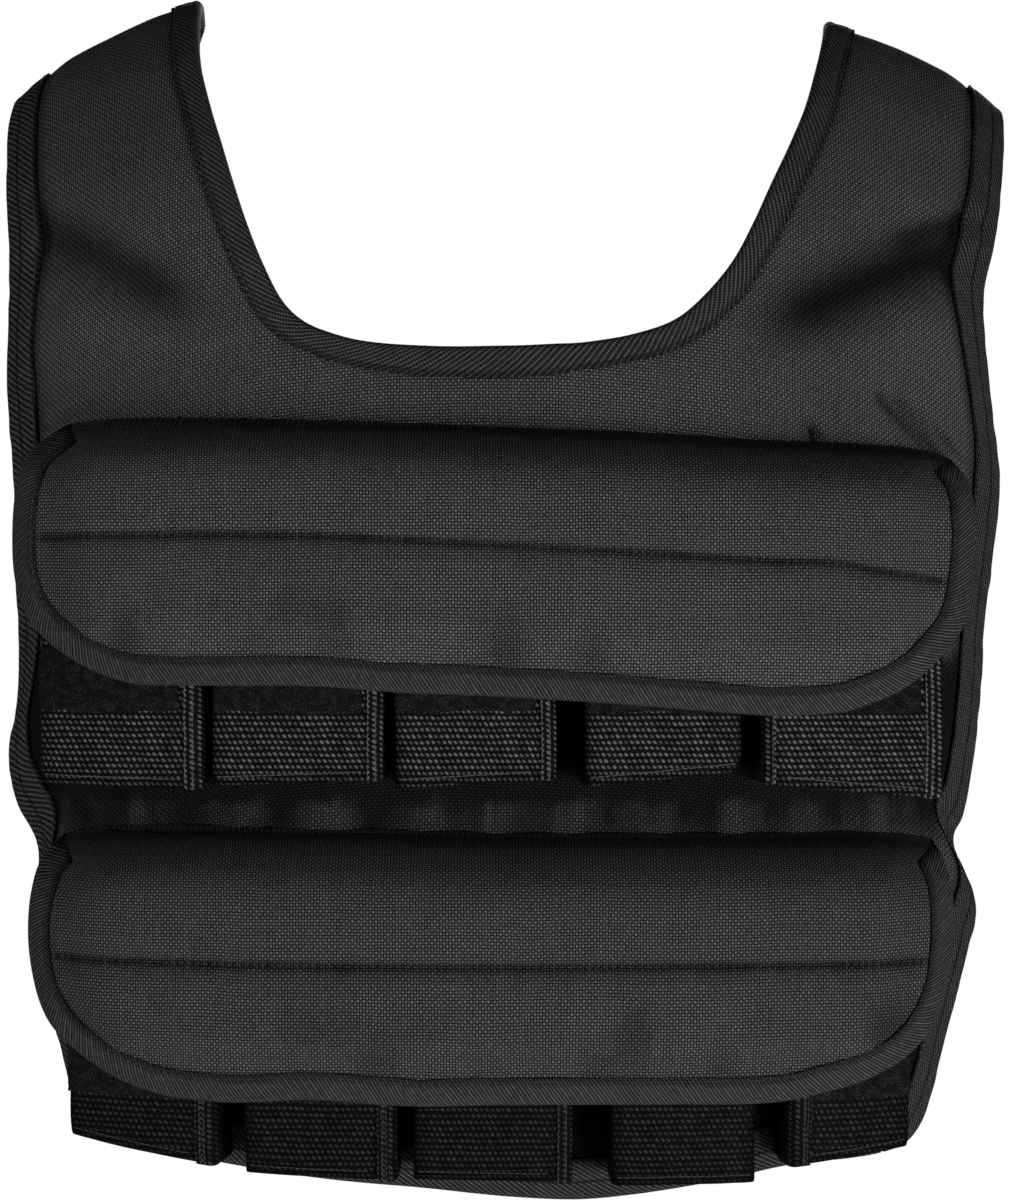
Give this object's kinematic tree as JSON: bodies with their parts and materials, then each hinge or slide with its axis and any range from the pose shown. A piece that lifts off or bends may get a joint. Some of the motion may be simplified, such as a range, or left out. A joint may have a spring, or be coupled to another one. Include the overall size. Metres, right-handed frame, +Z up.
{
  "type": "weighted vest",
  "caption": "Training vest of padded woven panels with taped edges, box pockets of ribbed webbing for weights under padded flaps, and side belts, shown worn.",
  "frame": {"origin": "on the shoulder line, midway between the straps and between front and back, where the straps bear on the shoulders", "axes": "+Z up, -Y towards the front of the vest, +X to the right as the front is seen"},
  "size_m": [0.4309, 0.2611, 0.5041],
  "materials": {
    "woven_cloth": "coarse basket-weave synthetic cloth, charcoal black, matt with a faint sheen",
    "binding_tape": "herringbone twill tape, black",
    "ribbed_webbing": "wide black webbing with raised nubs in cross rows",
    "loop_strip": "short black hook-and-loop pile",
    "plain_webbing": "flat black webbing"
  },
  "bodies": {
    "root": {"front_panel": "woven_cloth", "back_panel": "woven_cloth", "neck_binding": "binding_tape", "side_binding_left": "binding_tape", "side_binding_right": "binding_tape", "hem_binding_front": "binding_tape", "hem_binding_back": "binding_tape", "upper_flap": "woven_cloth", "upper_flap_binding": "binding_tape", "lower_flap": "woven_cloth", "lower_flap_binding": "binding_tape", "pocket_upper_1": "ribbed_webbing", "pocket_upper_2": "ribbed_webbing", "pocket_upper_3": "ribbed_webbing", "pocket_upper_4": "ribbed_webbing", "pocket_upper_5": "ribbed_webbing", "pocket_lower_1": "ribbed_webbing", "pocket_lower_2": "ribbed_webbing", "pocket_lower_3": "ribbed_webbing", "pocket_lower_4": "ribbed_webbing", "pocket_lower_5": "ribbed_webbing", "loop_strip_upper_1": "loop_strip", "loop_strip_upper_2": "loop_strip", "loop_strip_upper_3": "loop_strip", "loop_strip_upper_4": "loop_strip", "loop_strip_upper_5": "loop_strip", "loop_strip_lower_1": "loop_strip", "loop_strip_lower_2": "loop_strip", "loop_strip_lower_3": "loop_strip", "loop_strip_lower_4": "loop_strip", "loop_strip_lower_5": "loop_strip", "side_belt_left": "plain_webbing", "side_belt_right": "plain_webbing"}
  },
  "joints": []
}
